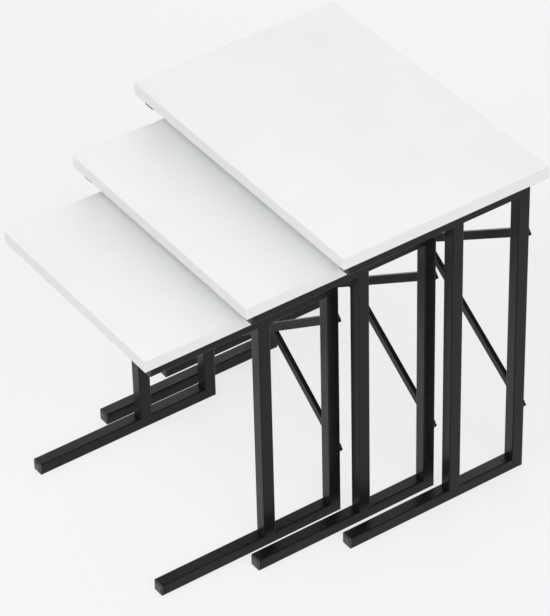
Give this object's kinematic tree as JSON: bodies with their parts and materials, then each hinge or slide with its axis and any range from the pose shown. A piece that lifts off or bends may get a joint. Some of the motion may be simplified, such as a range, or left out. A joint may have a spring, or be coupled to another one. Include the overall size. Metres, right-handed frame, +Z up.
{
  "type": "nesting tables",
  "caption": "Nesting side tables with white boards on black square-tube frames with X braces, each sliding in under the next larger one.",
  "frame": {"origin": "centre of the set's footprint, on the floor, with the tables drawn out as at rest", "axes": "+X to the right seen from the front, +Y from the small table towards the back of the large one, +Z up"},
  "size_m": [0.5, 0.608, 0.523],
  "materials": {
    "board_white": "white melamine-faced particle board, satin",
    "band_white": "white ABS edge band, satin",
    "frame_black": "black powder coat on mild steel, semi-gloss",
    "plug_black": "black polyethylene, fine matt grain",
    "screw_black": "black zinc plated steel, satin",
    "nut_zinc": "bright zinc plated steel"
  },
  "bodies": {
    "large_table": {"large_board": "board_white", "large_edge_bands": "band_white", "large_left_rail": "frame_black", "large_right_rail": "frame_black", "large_left_skid": "frame_black", "large_right_skid": "frame_black", "large_left_front_post": "frame_black", "large_right_front_post": "frame_black", "large_left_rear_post": "frame_black", "large_right_rear_post": "frame_black", "large_brace_whole_bar": "frame_black", "large_brace_split_bar": "frame_black", "large_end_plugs": "plug_black", "large_board_screws": "screw_black", "large_brace_screws": "screw_black", "large_rivet_nuts": "nut_zinc"},
    "middle_table": {"middle_board": "board_white", "middle_edge_bands": "band_white", "middle_left_rail": "frame_black", "middle_right_rail": "frame_black", "middle_left_skid": "frame_black", "middle_right_skid": "frame_black", "middle_left_front_post": "frame_black", "middle_right_front_post": "frame_black", "middle_left_rear_post": "frame_black", "middle_right_rear_post": "frame_black", "middle_brace_whole_bar": "frame_black", "middle_brace_split_bar": "frame_black", "middle_end_plugs": "plug_black", "middle_board_screws": "screw_black", "middle_brace_screws": "screw_black", "middle_rivet_nuts": "nut_zinc"},
    "small_table": {"small_board": "board_white", "small_edge_bands": "band_white", "small_left_rail": "frame_black", "small_right_rail": "frame_black", "small_left_skid": "frame_black", "small_right_skid": "frame_black", "small_left_front_post": "frame_black", "small_right_front_post": "frame_black", "small_left_rear_post": "frame_black", "small_right_rear_post": "frame_black", "small_brace_whole_bar": "frame_black", "small_brace_split_bar": "frame_black", "small_end_plugs": "plug_black", "small_board_screws": "screw_black", "small_brace_screws": "screw_black", "small_rivet_nuts": "nut_zinc"}
  },
  "joints": [
    {"name": "middle_table_slide", "type": "slide", "parent": "large_table", "child": "middle_table", "axis": [0, -1, 0], "range_m": [-0.119, 0.218]},
    {"name": "small_table_slide", "type": "slide", "parent": "middle_table", "child": "small_table", "axis": [0, -1, 0], "range_m": [-0.127, 0.21]}
  ]
}
